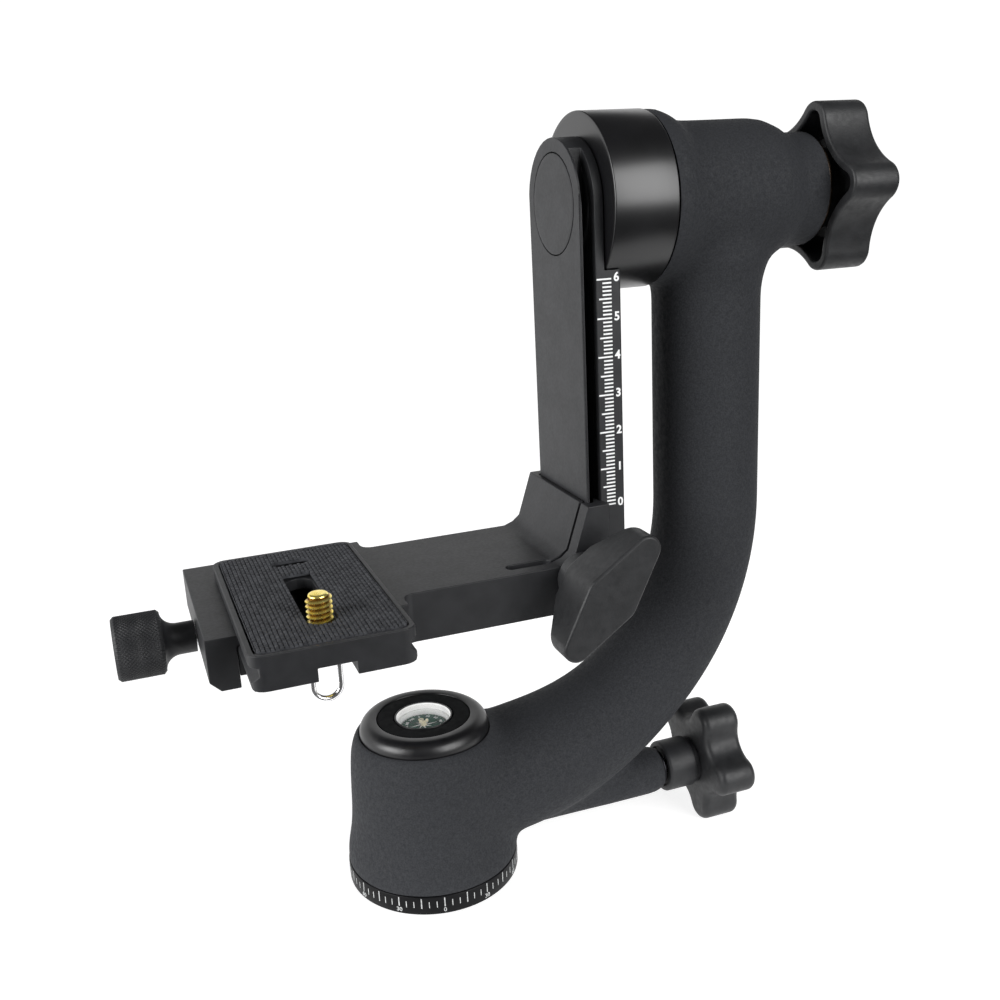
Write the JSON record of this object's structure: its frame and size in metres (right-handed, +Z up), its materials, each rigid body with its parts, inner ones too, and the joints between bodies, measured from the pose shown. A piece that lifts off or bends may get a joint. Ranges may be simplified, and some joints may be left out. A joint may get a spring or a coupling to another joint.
{
  "type": "gimbal head",
  "caption": "Side-mount gimbal head for long camera lenses: panning base with compass, curved arm, tilting rail and height-adjustable quick-release platform.",
  "frame": {"origin": "centre of the base ring's underside, on the pan axis, where the tripod's stud enters", "axes": "+Z up along the pan axis; +X from the pan axis towards the upright of the arm, parallel to the tilt axis; +Y away from the user, who stands at -Y"},
  "size_m": [0.2161, 0.0777, 0.215],
  "materials": {
    "casting": "fine-grained charcoal soft-touch coat over cast metal",
    "black_satin": "black anodised, turned, satin",
    "black_matt": "dark grey anodised, milled, matt satin",
    "black_gloss": "glossy black",
    "knob": "moulded black plastic, fine matt grain",
    "pad_rubber": "waffle-patterned black rubber",
    "steel": "bright steel",
    "chrome": "polished chrome",
    "brass": "polished yellow brass",
    "bronze": "sintered bronze",
    "nylon": "white nylon",
    "glass": "clear dome",
    "dial": "printed green and white dial"
  },
  "bodies": {
    "base": {"base_ring": "black_satin", "pan_spindle": "steel", "tripod_bush": "brass", "pan_spring_washer": "steel", "pan_nut": "steel", "base_screw_1": "steel", "base_screw_2": "steel", "base_screw_3": "steel"},
    "arm": {"arm_casting": "casting", "pan_washer": "nylon", "pan_bush_lower": "bronze", "pan_bush_upper": "bronze", "column_cap": "black_gloss", "cap_inlay": "black_matt", "compass_housing": "black_gloss", "compass_lens": "glass", "compass_pivot": "brass", "pan_lock_washer": "steel", "tilt_outer_race_front": "steel", "tilt_outer_race_rear": "steel"},
    "compass": {"compass_dial": "dial"},
    "pan_pad": {"pan_lock_pad": "brass"},
    "pan_lock": {"pan_lock_screw": "steel", "pan_knob_hub": "black_satin", "pan_knob": "knob"},
    "swing": {"tilt_drum": "black_satin", "rail": "black_matt", "pivot_cover": "black_matt", "axle_bolt": "steel", "tilt_axle": "steel", "rail_dowel_1": "steel", "rail_dowel_2": "steel", "rail_stop_screw": "steel", "tilt_inner_race_front": "steel", "tilt_ball_row_front": "steel", "tilt_inner_race_rear": "steel", "tilt_ball_row_rear": "steel"},
    "tilt_lock_washer": {"tilt_washer": "bronze"},
    "tilt_lock": {"tilt_knob": "knob", "tilt_knob_nut": "brass"},
    "platform": {"l_bracket": "black_matt", "jaw_guide_pin_1": "steel", "jaw_guide_pin_2": "steel"},
    "wing_lock": {"wing_knob": "knob", "wing_stud": "steel"},
    "jaw": {"clamp_jaw": "black_matt"},
    "clamp_lock": {"clamp_knob": "black_satin", "clamp_screw": "steel"},
    "plate": {"qr_plate": "black_matt", "plate_pad": "pad_rubber"},
    "screw_carrier": {"slot_washer": "nylon"},
    "screw": {"camera_screw": "brass"},
    "ring": {"screw_ring": "chrome"}
  },
  "joints": [
    {"name": "pan", "type": "hinge", "parent": "base", "child": "arm", "pos_m": [0, 0, 0.02], "axis": [0, 0, 1], "continuous": true},
    {"name": "compass_turn", "type": "hinge", "parent": "arm", "child": "compass", "pos_m": [0, 0, 0.0438], "axis": [0, 0, 1], "continuous": true},
    {"name": "pan_pad_slide", "type": "slide", "parent": "arm", "child": "pan_pad", "axis": [1, 0, 0], "range_m": [0, 0.00125]},
    {"name": "pan_knob_turn", "type": "hinge", "parent": "pan_pad", "child": "pan_lock", "pos_m": [0.08, 0, 0.013], "axis": [1, 0, 0], "range_deg": [0, 360]},
    {"name": "tilt", "type": "hinge", "parent": "arm", "child": "swing", "pos_m": [0.06, 0, 0.186], "axis": [1, 0, 0], "continuous": true},
    {"name": "tilt_washer_slide", "type": "slide", "parent": "swing", "child": "tilt_lock_washer", "axis": [1, 0, 0], "range_m": [0, 0.0015]},
    {"name": "tilt_knob_turn", "type": "hinge", "parent": "tilt_lock_washer", "child": "tilt_lock", "pos_m": [0.13, 0, 0.186], "axis": [1, 0, 0], "range_deg": [0, 360]},
    {"name": "height", "type": "slide", "parent": "swing", "child": "platform", "axis": [0, 0, 1], "range_m": [0, 0.06]},
    {"name": "wing_knob_turn", "type": "hinge", "parent": "platform", "child": "wing_lock", "pos_m": [0.041, -0.03, 0.09], "axis": [0, -1, 0], "range_deg": [0, 180]},
    {"name": "jaw_slide", "type": "slide", "parent": "platform", "child": "jaw", "axis": [-1, 0, 0], "range_m": [0, 0.004]},
    {"name": "clamp_knob_turn", "type": "hinge", "parent": "jaw", "child": "clamp_lock", "pos_m": [-0.07, 0, 0.0844], "axis": [-1, 0, 0], "range_deg": [0, 1440]},
    {"name": "plate_slide", "type": "slide", "parent": "platform", "child": "plate", "axis": [0, -1, 0], "range_m": [-0.0115, 0.02]},
    {"name": "screw_slide", "type": "slide", "parent": "plate", "child": "screw_carrier", "axis": [0, -1, 0], "range_m": [-0.0115, 0.0015]},
    {"name": "camera_screw_turn", "type": "hinge", "parent": "screw_carrier", "child": "screw", "pos_m": [-0.0318, -0.0332, 0.095], "axis": [0, 0, 1], "range_deg": [0, 1440]},
    {"name": "ring_fold", "type": "hinge", "parent": "screw", "child": "ring", "pos_m": [-0.0318, -0.0332, 0.08965], "axis": [1, 0, 0], "range_deg": [-90, 0]}
  ],
  "couplings": [
    {"joint": "pan_knob_turn", "follows": "pan_pad_slide", "rad_per_m": 5026.5},
    {"joint": "tilt_knob_turn", "follows": "tilt_washer_slide", "rad_per_m": 4188.8},
    {"joint": "clamp_knob_turn", "follows": "jaw_slide", "rad_per_m": 6283.2}
  ]
}
